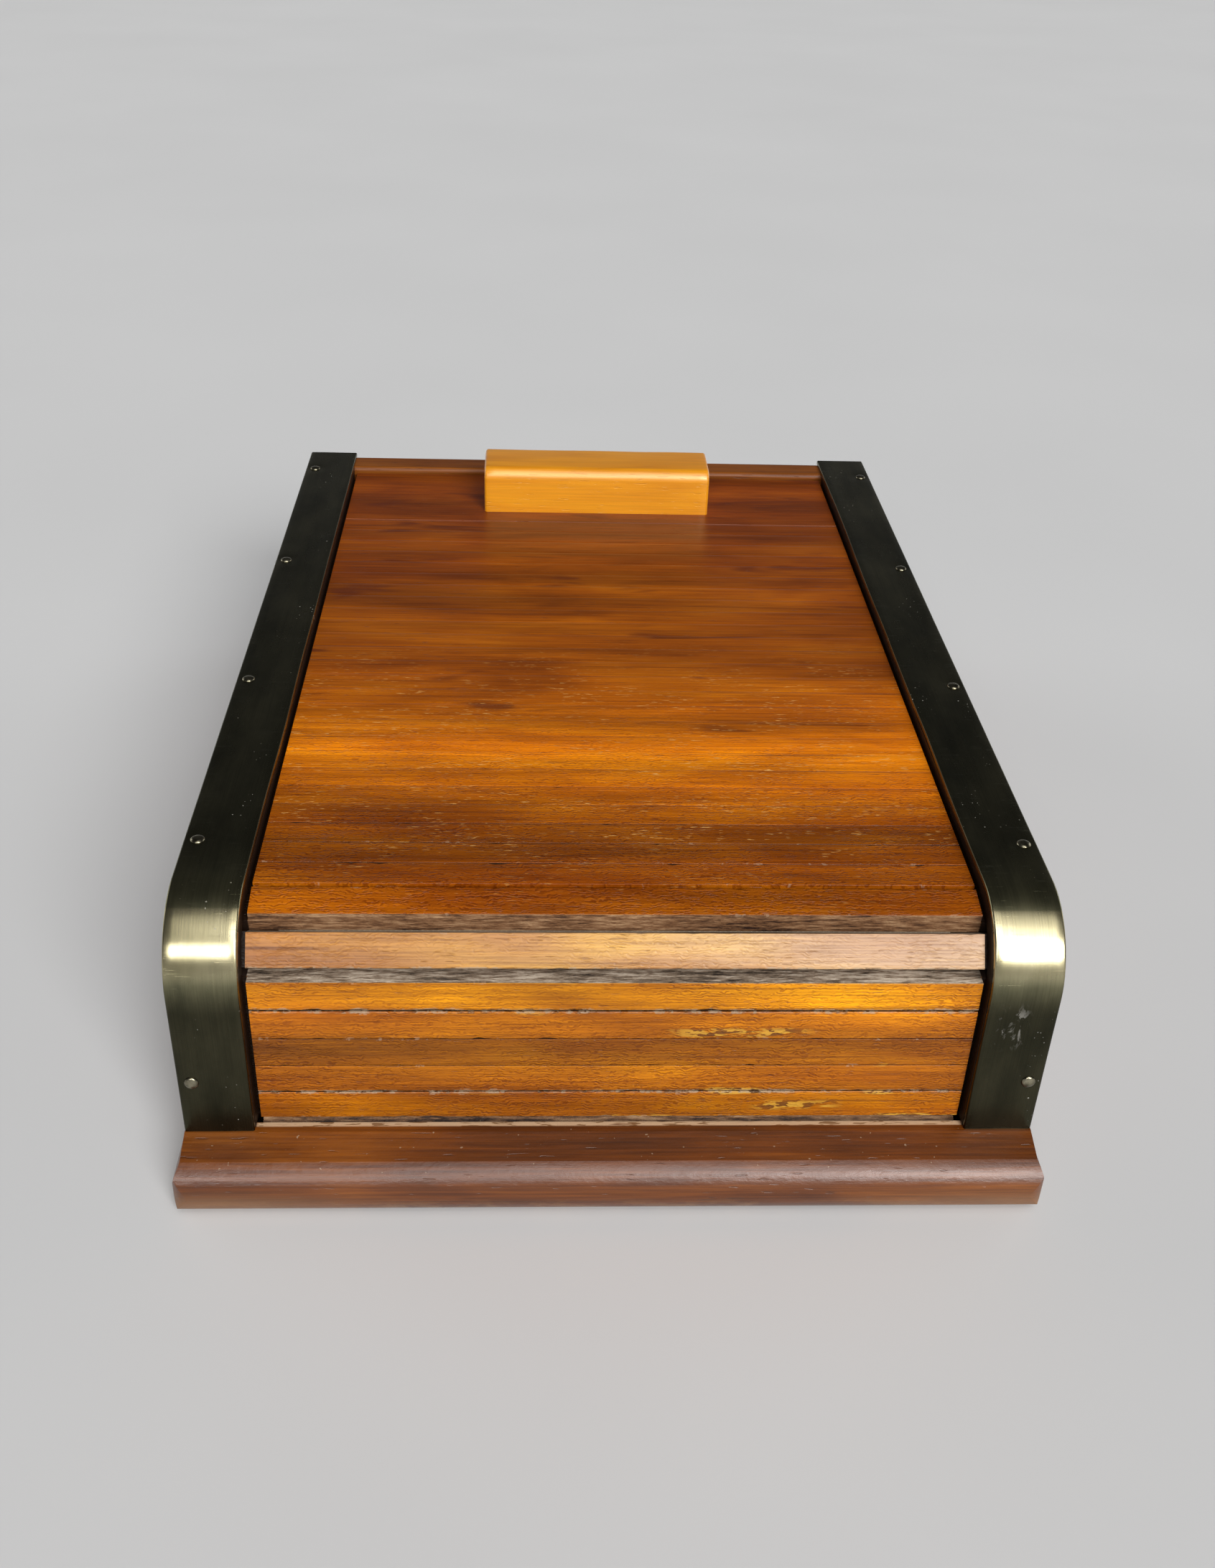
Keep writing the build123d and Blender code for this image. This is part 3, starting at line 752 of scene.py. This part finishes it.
def strip_brass():
    """Brass of the strips, tarnished to olive and darkened further as a painted dark reflection, most on
    the upright front; rubbed bright over the bend and brushed along its length
    """
    net = Shader("strip_brass")
    place = net.attribute("strip", "Vector")
    across, along = net.parts(place)[:2]
    clouds = net.noise(place, (0.008, 0.022, 0.01), detail=4.0, roughness=0.6)
    # Tarnish, made darker still as a painted dark reflection
    tarnish_and_dark_reflection = net.ramp(clouds, (0.30, (0.075, 0.074, 0.044)), (0.70, (0.17, 0.158, 0.092)))
    rubbed = net.ramp(clouds, (0.30, (0.38, 0.335, 0.19)), (0.70, (0.56, 0.50, 0.31)))
    bend = net.all_of(
        net.step(along, POLISH_START - POLISH_EDGE, POLISH_START + POLISH_EDGE),
        net.step(along, POLISH_END + POLISH_FADE, POLISH_END - POLISH_FADE),
    )
    # The upright front much darker: painted dark reflection
    foot = net.step(along, *FOOT_FADE)
    tarnish_and_dark_reflection = net.tint(foot, tarnish_and_dark_reflection, (0.38,) * 3)
    paler = net.all_of(net.step(along, PALER_FROM, POLISH_START), net.inverse(foot))
    tarnish_and_dark_reflection = net.tint(paler, tarnish_and_dark_reflection, (2.0,) * 3)
    colour = net.mix(bend, tarnish_and_dark_reflection, rubbed)
    lines = net.noise(place, (0.00018, 0.030, 0.01), detail=2.0)
    colour = net.tint(1.0, colour, net.ramp(lines, (0.3, (0.88,) * 3), (0.7, (1.09,) * 3)))
    # Specks of dust, and the scuffed patch
    specks = net.spots(place, (0.0005, 0.0006, 0.001), 0.79, 0.82, detail=0.0)
    speck_zone = net.spots(place, (0.010, 0.014, 0.01), 0.52, 0.70)
    dust = net.all_of(specks, speck_zone)
    scuffs = net.all_of(
        net.between(across, SCUFF_X - SCUFF_HALF_W, SCUFF_X + SCUFF_HALF_W, SCUFF_HALF_W / 2),
        net.between(along, SCUFF_ALONG - SCUFF_HALF_L, SCUFF_ALONG + SCUFF_HALF_L, SCUFF_HALF_L / 2),
        net.spots(place, (0.0016, 0.0040, 0.01), 0.54, 0.64, detail=3.0, roughness=0.7, distortion=0.8),
    )
    dust = net.math("MAXIMUM", dust, net.all_of(scuffs, 0.6))
    colour = net.mix(net.all_of(dust, 0.8), colour, (0.40, 0.38, 0.34))
    rough = net.level(net.noise(place, (0.006, 0.020, 0.01), detail=4.0), 0.20, 0.36)
    rough = net.math("SUBTRACT", rough, net.all_of(bend, 0.03))
    rough = net.math("ADD", rough, net.all_of(dust, 0.5), clamp=True)
    metal = net.inverse(net.all_of(dust, 0.8))
    net.set(Base_Color=colour, Metallic=metal, Roughness=rough)
    relief = net.bump(lines, 0.00001, 0.25)
    scratches = net.spots(place, (0.0100, 0.00012, 0.01), 0.70, 0.74, detail=2.0)
    net.set(Normal=net.bump(scratches, 0.00002, 0.5, relief))
    return net.material


def small_brass(name, dark, light, roughness):
    """Brass of the pins and screws, mottled from dark to light"""
    net = Shader(name)
    place = net.place()
    clouds = net.noise(place, (0.0012, 0.0012, 0.0012), detail=3.0)
    net.set(Base_Color=net.ramp(clouds, (0.3, dark), (0.7, light)), Metallic=1.0)
    net.set(Roughness=net.level(clouds, *roughness))
    net.set(Normal=net.bump(clouds, 0.00004, 0.4))
    return net.material


THREAD_PITCH = 0.0009


def backing_cloth():
    """Plain-woven cloth behind the slats: place is (across, along) on the flat cloth"""
    net = Shader("backing_cloth")
    place = net.attribute("weave", "Vector")
    across, along = net.parts(place)[:2]
    thread = 2 * pi / THREAD_PITCH
    warp = net.math("SINE", net.math("MULTIPLY", across, thread))
    weft = net.math("SINE", net.math("MULTIPLY", along, thread))
    weave = net.level(net.math("MULTIPLY", warp, weft), 0.5, 1.0)
    stain = net.noise(place, (0.020, 0.015, 0.01), detail=3.0)
    tone = net.blend(stain, weave, 0.4)
    net.set(Base_Color=net.ramp(tone, (0.25, (0.16, 0.13, 0.09)), (0.75, (0.42, 0.36, 0.27))))
    net.set(Roughness=0.9, Normal=net.bump(weave, 0.00012, 0.8))
    return net.material


# Pieces

STATION_STEP = 0.00125  # along a slat
EDGE_STEPS = 3  # faces round the edge of a slat or a strip
FACE_SHARES = (-0.7, -0.25, 0.25, 0.7)  # where a slat's face is divided, as shares of half its depth
EDGE_R, WORN_R = 0.00001, 0.00010  # a slat's edges, unworn and worn
FACE_GAP, WORN_GAP = 0.00002, 0.00014  # what shows between the slats' faces
WEAR_FROM, WEAR_FULL = 18, 24  # slats between which the edges' wear sets in
CHIP_DEPTH, CHIP_LENGTH = 0.0004, 0.0028
CHIP_FROM = 0.30  # the noise above which an edge is chipped
CHIP_SEEDS = (5.3, 2.1)  # steps through the noise, from slat to slat and from edge to edge
# How much lighter or darker a slat is than the wood around it, and how far the other slats vary
SLAT_TONES = {
    19: 0.14, 21: -0.08, 22: -0.12, 23: -0.22, 24: -0.06,
    28: 0.48, 29: 0.10, 30: -0.33, 31: -0.18, 32: 0.0,
}
TONE_SPREAD, TONE_SEED = 0.14, 0.77
DARK_WALL, RAW_WALL, DUSTY_WALL = 0.34, 0.67, 1.0  # marks on the sides of a slat
# By slat and side, -1 for the front and 1 for the back: edges worn more than the rest, and sides that show
WORN_EDGE_R = {
    (27, -1): 0.00018, (28, -1): 0.00040, (29, 1): 0.00024, (31, -1): 0.00024, (32, 1): 0.00018,
}
OPEN_WALLS = {
    (25, -1): 0.0,
    (26, -1): RAW_WALL,
    (27, -1): RAW_WALL,
    (27, 1): DUSTY_WALL,
    (28, 1): DUSTY_WALL,
    (32, -1): RAW_WALL,
    (33, 1): RAW_WALL,
}


def slat_wear(number):
    """How far a slat's edges are worn, from 0 to 1"""
    return min(max((number - WEAR_FROM) / (WEAR_FULL - WEAR_FROM), 0), 1)


def slat_profile(number):
    """Section of a slat as (along, height, side, edge), half its depth to either side"""
    wear = slat_wear(number)
    half = (SLAT_PITCH - FACE_GAP - wear * (WORN_GAP - FACE_GAP)) / 2
    front_wall, back_wall = (OPEN_WALLS.get((number, flank), DARK_WALL) for flank in (-1, 1))
    plain_r = EDGE_R + wear * (WORN_R - EDGE_R)
    front_r, back_r = (WORN_EDGE_R.get((number, flank), plain_r) for flank in (-1, 1))
    front = arc((-half + front_r, SLAT_T - front_r), front_r, 180, 90, EDGE_STEPS)
    back = arc((half - back_r, SLAT_T - back_r), back_r, 90, 0, EDGE_STEPS)
    profile = [(-half, 0, front_wall, 0), (-half, TONGUE_T, front_wall, 0)]
    profile += [(y, z, front_wall * (i == 0), 1) for i, (y, z) in enumerate(front)]
    profile += [(share * half, SLAT_T, 0, 0) for share in FACE_SHARES]
    profile += [(y, z, back_wall * (i == EDGE_STEPS), 1) for i, (y, z) in enumerate(back)]
    return profile + [(half, TONGUE_T, back_wall, 0), (half, 0, back_wall, 0)]


def add_slat(number, material):
    """A slat with worn edges, shouldered ends and tongues, on its place of the track"""
    middle, back, out = slat_frame(number)
    centre = (HINGES[number - 1] + HINGES[number]) / 2
    wear = slat_wear(number)
    slat_seed, edge_seed = CHIP_SEEDS
    face = spread(-SHOULDER_X, SHOULDER_X, STATION_STEP)
    stations = [(-TONGUE_X, False), (-SHOULDER_X, False), *((x, True) for x in face)]
    stations += [(SHOULDER_X, False), (TONGUE_X, False)]
    rings, places, sides, edges = [], [], [], []
    for x, full in stations:
        ring = []
        for v, w, side, edge in slat_profile(number):
            flank = 1 if v > 0 else -1
            if edge:
                depth = wobble(x / CHIP_LENGTH, number * slat_seed, flank * edge_seed) - CHIP_FROM
                chip = wear * CHIP_DEPTH * max(0, depth)
                v -= flank * chip
                w -= chip
            if not full:
                w = min(w, TONGUE_T)
            ring.append(middle + Vector((x, 0, 0)) + back * v + out * w)
            places.append((x, centre - v, w))
            sides.append(float(side))
            edges.append(edge * (1.0 if (number, flank) in WORN_EDGE_R else wear / 2))
        rings.append(ring)
    name = f"slat_{number:02d}"
    obj = add_tube(f"lid_{name}", rings, crease=50)
    mark(obj, "lid", "FLOAT_VECTOR", places)
    mark(obj, "side", "FLOAT", sides)
    mark(obj, "edge", "FLOAT", edges)
    tone = SLAT_TONES.get(number, TONE_SPREAD * wobble(number * TONE_SEED, 0.5, 0.5))
    mark(obj, "tone", "FLOAT", [tone] * len(places))
    put_on_track(obj, [number] * len(places))
    finish_piece(obj, "lid", material, name)


CLOTH_COLUMN = 0.004
FOLD_HALF = 0.0002  # cloth left free on a slat's back, at either edge
CLOTH_SHOWN = 0.8  # share of the cloth's thickness, so that it stays off the slats


def add_cloth(material):
    """Cloth on the backs of the slats, glued down on each and free to fold between them"""
    low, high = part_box("tambour_cloth")
    columns = spread(low.x, high.x, CLOTH_COLUMN)
    glued = SLAT_DEPTH / 2 - FOLD_HALF
    start = high.y - FIRST_HINGE_Y
    rows = [(1, SLAT_PITCH / 2 + start)]
    for number in range(1, len(SLATS) + 1):
        rows += [(number, glued), (number, -glued)]
    points, places, numbers = [], [], []
    for number, v in rows:
        middle, back, out = slat_frame(number)
        centre = (HINGES[number - 1] + HINGES[number]) / 2
        for x in columns:
            points.append(middle + Vector((x, 0, 0)) + back * v - out * (CLOTH_T / 2))
            places.append((x, centre - v, 0.0))
            numbers.append(number)
    size = len(columns)
    faces = []
    for i in range(len(rows) - 1):
        for j in range(size - 1):
            a = i * size + j
            faces.append((a, a + 1, a + size + 1, a + size))
    obj = add_object("lid_cloth", points, faces, crease=80)
    mark(obj, "weave", "FLOAT_VECTOR", places)
    put_on_track(obj, numbers)
    thickness = obj.modifiers.new("thickness", "SOLIDIFY")
    thickness.thickness = CLOTH_T * CLOTH_SHOWN
    thickness.offset = 0
    finish_piece(obj, "lid", material, "tambour_cloth")


STRIP_T = 0.001
STRIP_EDGE_R = 0.00035
STRIP_STEP, STRIP_COLUMN = 0.0016, 0.0013  # spacing of its points, along and across
WAVE_DEPTH, WAVES_ACROSS, WAVES_ALONG = 0.00006, 120, 45  # a strip's waviness, in metres and per metre
EDGE_WANDER, EDGE_WAVES = 0.00022, 30  # how its inner edge wanders
DIMPLE_R, DIMPLE_DEPTH = 0.0024, 0.00014
PIN_HEAD_R, PIN_HEAD_H = 0.0013, 0.0005
PIN_FOOT_R = PIN_HEAD_R * 0.9
PIN_SINK = DIMPLE_DEPTH * 0.6
PIN_SIDES = 24
DOME_TURNS = (15, 40, 62, 80, 90)  # degrees from a pin's axis to the rings of its dome
PIN_PITCH, TOP_PINS = 0.0578, 4


def pin_places(side):
    """Places of a strip's pins: (x, distance along the strip from its back end)"""
    low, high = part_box(f"strip_pins_{side}")
    x = (low.x + high.x) / 2
    first = BACK_Y - (high.y - PIN_HEAD_R)
    places = [(x, first + i * PIN_PITCH) for i in range(TOP_PINS)]
    foot = low.z + PIN_HEAD_R
    return places + [(x, STRIP_FRONT + HEIGHT - RIM_R - foot)]


def strip_point(distance):
    """Point (y, z) of a strip's face and its outward direction, from the strip's back end"""
    turn = min(max(distance - STRIP_FLAT, 0), STRIP_BEND) / RIM_R
    y = BACK_Y - min(distance, STRIP_FLAT) - RIM_R * sin(turn)
    z = HEIGHT - RIM_R * (1 - cos(turn)) - max(distance - STRIP_FRONT, 0)
    return Vector((0, y, z)), Vector((0, -sin(turn), cos(turn)))


def add_strip(side, material):
    """Brass strip bent over a side panel's rim: slightly wavy, and dimpled at its pins"""
    sign = 1 if side == "right" else -1
    length = STRIP_FRONT + HEIGHT - RIM_R - BASE_T
    r = STRIP_EDGE_R
    outer = arc((HALF_W - r, -r), r, 90, 0, EDGE_STEPS)
    inner = arc((INNER_X + r, -r), r, 180, 90, EDGE_STEPS)
    middle = [(x, 0) for x in spread(INNER_X + r, HALF_W - r, STRIP_COLUMN)[1:-1]]
    section = inner + middle + outer + [(HALF_W, -STRIP_T), (INNER_X, -STRIP_T)]
    pins = pin_places(side)
    rings, places = [], []
    for distance in spread(0, length, STRIP_STEP):
        point, out = strip_point(distance)
        ring = []
        for x, w in section:
            if w > -STRIP_T:
                w += WAVE_DEPTH * wobble(x * WAVES_ACROSS, distance * WAVES_ALONG, sign * 3.0)
                for pin_x, pin_distance in pins:
                    reach = hypot(x - abs(pin_x), distance - pin_distance) / DIMPLE_R
                    w -= DIMPLE_DEPTH * max(0, 1 - reach * reach)
            share = (HALF_W - x) / (HALF_W - INNER_X)
            x += EDGE_WANDER * share * wobble(distance * EDGE_WAVES, sign * 5.0, 1.5)
            ring.append(point + out * w + Vector((sign * x, 0, 0)))
            places.append((sign * x, distance, 0.0))
        rings.append(ring)
    obj = add_tube(f"strip_{side}", rings, crease=50)
    mark(obj, "strip", "FLOAT_VECTOR", places)
    finish_piece(obj, "box", material, f"brass_strip_{side}")


def add_pins(side, material):
    """Domed heads of a strip's pins, set into their dimples"""
    points, faces = [], []
    dome = [(PIN_HEAD_R * sin(turn), PIN_HEAD_H * cos(turn)) for turn in map(radians, DOME_TURNS)]
    dome.append((PIN_FOOT_R, -DIMPLE_DEPTH))
    turns = [2 * pi * i / PIN_SIDES for i in range(PIN_SIDES)]
    for x, distance in pin_places(side):
        point, out = strip_point(distance)
        along = out.cross(Vector((1, 0, 0)))
        first = len(points)
        for radius, w in dome:
            centre = point + Vector((x, 0, 0)) + out * (w - PIN_SINK)
            for turn in turns:
                points.append(centre + Vector((radius * cos(turn), 0, 0)) + along * (radius * sin(turn)))
        faces += ring_faces(len(dome), PIN_SIDES, first)
    obj = add_object(f"pins_{side}", points, faces, crease=60)
    finish_piece(obj, "box", material, f"strip_pins_{side}")


HANDLE_END_R = 0.0007
HANDLE_EDGE_STEPS, HANDLE_STEP = 10, 0.002
END_TURNS = (0, 30, 60, 90)  # degrees round the eased edge of an end
HANDLE_WEAR, WEAR_ALONG, WEAR_ACROSS = 0.00008, 90, 200  # its unevenness, in metres and per metre


def add_handle(material):
    """Bar handle: rounded along its top edges, eased at its ends"""
    low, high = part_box("handle")
    r = HANDLE_EDGE_R
    section = [(low.y, low.z)]
    section += arc((low.y + r, high.z - r), r, 180, 90, HANDLE_EDGE_STEPS)
    section += arc((high.y - r, high.z - r), r, 90, 0, HANDLE_EDGE_STEPS)
    section += [(high.y, low.z)]
    middle_y, middle_z = (low.y + high.y) / 2, (low.z + high.z) / 2
    ease = HANDLE_END_R
    ends = [(ease * (1 - sin(turn)), ease * (1 - cos(turn))) for turn in map(radians, END_TURNS)]
    stations = [(low.x + inset, shrink) for inset, shrink in reversed(ends)]
    stations += [(x, 0) for x in spread(low.x + ease, high.x - ease, HANDLE_STEP)[1:-1]]
    stations += [(high.x - inset, shrink) for inset, shrink in ends]
    rings = []
    for x, shrink in stations:
        ring = []
        for y, z in section:
            wear = HANDLE_WEAR * wobble(x * WEAR_ALONG, y * WEAR_ACROSS, z * WEAR_ACROSS)
            y += (shrink + wear) * (1 if y < middle_y else -1)
            if z > middle_z:
                z -= shrink + wear
            ring.append(Vector((x, y, z)))
        rings.append(ring)
    obj = add_tube("pull_handle", rings, crease=40)
    finish_piece(obj, "lid", material, "handle")


# Camera and light

IMAGE_H = 2184
FOCAL_PIXELS = 2200.0
CAMERA_PLACE = Vector((-0.0148, -0.3047, 0.2186))
CAMERA_PITCH, CAMERA_YAW, CAMERA_ROLL = radians(32.88), radians(3.22), radians(2.17)
SENSOR_MM = 36.0  # along the picture's longer side, its height


def add_camera():
    """Camera at the photograph's viewpoint"""
    level = Vector((cos(CAMERA_YAW), -sin(CAMERA_YAW), 0))
    ahead = Vector((sin(CAMERA_YAW), cos(CAMERA_YAW), 0))
    forward = ahead * cos(CAMERA_PITCH) - Vector((0, 0, sin(CAMERA_PITCH)))
    upright = level.cross(forward)
    right = level * cos(CAMERA_ROLL) + upright * sin(CAMERA_ROLL)
    up = upright * cos(CAMERA_ROLL) - level * sin(CAMERA_ROLL)
    data = bpy.data.cameras.new("camera")
    data.sensor_width = SENSOR_MM
    data.lens = FOCAL_PIXELS * SENSOR_MM / IMAGE_H
    data.clip_start = 0.01
    camera = add_data("camera", data)
    turn = Matrix((right, up, -forward)).transposed().to_4x4()
    camera.matrix_world = Matrix.Translation(CAMERA_PLACE) @ turn
    bpy.context.scene.camera = camera


def add_lamp(name, direction, softness, level):
    """Soft far lamp, softness degrees across, that lights a white surface facing it to a level"""
    data = bpy.data.lights.new(name, "SUN")
    data.energy = level * pi
    data.angle = radians(softness)
    turn = Vector(direction).to_track_quat("Z", "Y")
    add_data(name, data).matrix_world = turn.to_matrix().to_4x4()


FLOOR_REACH = 30.0
HORIZON_LEVEL, CEILING_LEVEL = 0.36, 0.05
HORIZON_HEIGHT, CEILING_HEIGHT = 0.08, 0.36  # sines of the elevations between which the room darkens
# Direction towards each lamp, its softness in degrees and its level
LAMPS = {
    "key": ((0.34, -0.78, 0.53), 24, 0.69),
    "panel": ((0.10, -0.60, 0.79), 30, 0.22),
    "overhead": ((0.10, -0.36, 0.93), 36, 0.15),
    "fill": ((-0.20, -0.84, 0.50), 15, 0.19),
    "back_left": ((-0.86, 0.44, 0.25), 40, 0.14),
    "back_right": ((0.86, 0.44, 0.25), 40, 0.14),
}


def add_floor():
    """Plain pale floor"""
    net = Shader("floor")
    clouds = net.noise(net.place(), (0.15, 0.15, 0.15), detail=2.0)
    net.set(Base_Color=net.ramp(clouds, (0.3, (0.62,) * 3), (0.7, (0.64,) * 3)), Roughness=0.8)
    corners = [(x * FLOOR_REACH, y * FLOOR_REACH, 0) for x, y in ((-1, -1), (1, -1), (1, 1), (-1, 1))]
    floor = add_object("floor", corners, [(0, 1, 2, 3)])
    floor.data.materials.append(net.material)


def add_world():
    """Surroundings as in a pale room with a dark ceiling"""
    world = bpy.data.worlds.new("world")
    world.use_nodes = True
    net = NodeTree(world.node_tree)
    direction = net.node("ShaderNodeTexCoord").outputs["Generated"]
    height = net.parts(direction)["Z"]
    level = net.step(height, HORIZON_HEIGHT, CEILING_HEIGHT, HORIZON_LEVEL, CEILING_LEVEL)
    background = world.node_tree.nodes["Background"]
    net.put(background.inputs["Color"], (1, 1, 1, 1))
    net.put(background.inputs["Strength"], level)
    bpy.context.scene.world = world


# The scene

def paint(material, *nodes):
    """Gives solids that are kept as they are their material"""
    for name in nodes:
        slots = frame["nodes"][name].data.materials
        slots.clear()
        slots.append(material)


def add_lid():
    """Slats, lead board, cloth and handle"""
    slat_wood = lid_wood("slat_wood", slat_place)
    for number in range(1, len(SLATS) + 1):
        add_slat(number, slat_wood)
    paint(lid_wood("lead_wood", lead_place), "lead_board")
    add_cloth(backing_cloth())
    add_handle(handle_wood())


def add_case():
    """Strips and their pins, panels, base, inner boards and screws"""
    brass = strip_brass()
    pin_brass = small_brass("pin_brass", (0.10, 0.09, 0.06), (0.34, 0.31, 0.22), (0.18, 0.32))
    for side in ("left", "right"):
        add_strip(side, brass)
        add_pins(side, pin_brass)
    dark_wood = ((0.060, 0.016, 0.003), (0.125, 0.034, 0.005), (0.20, 0.062, 0.008))
    size = (0.070, 0.009, 0.008)
    case = plain_wood("case_wood", dark_wood, size, (0.32, 0.50), along_y=True, shade_mask=rim_painted_shade)
    paint(case.material, "side_panel_left", "side_panel_right")
    rear_colours = ((0.095, 0.023, 0.003), (0.17, 0.046, 0.005), (0.26, 0.078, 0.008))
    rear = plain_wood("rear_wood", rear_colours, size, (0.32, 0.50))
    paint(rear.material, "rear_panel")
    bare_wood = ((0.24, 0.14, 0.07), (0.36, 0.225, 0.12), (0.46, 0.31, 0.18))
    inner = plain_wood("inner_wood", bare_wood, (0.080, 0.006, 0.006), (0.55, 0.75), along_y=True)
    paint(inner.material, "false_floor", "front_guard")
    paint(base_wood(), "base_board")
    screw = small_brass("screw_brass", (0.36, 0.28, 0.13), (0.62, 0.52, 0.28), (0.28, 0.45))
    paint(screw, "base_screws", "handle_screws")


def add_studio():
    """Camera, floor, surroundings and lamps"""
    add_camera()
    add_floor()
    add_world()
    for name, settings in LAMPS.items():
        add_lamp(name, *settings)


add_lid()
add_case()
add_studio()
bpy.context.scene.view_settings.view_transform = "Standard"
bpy.context.view_layer.update()
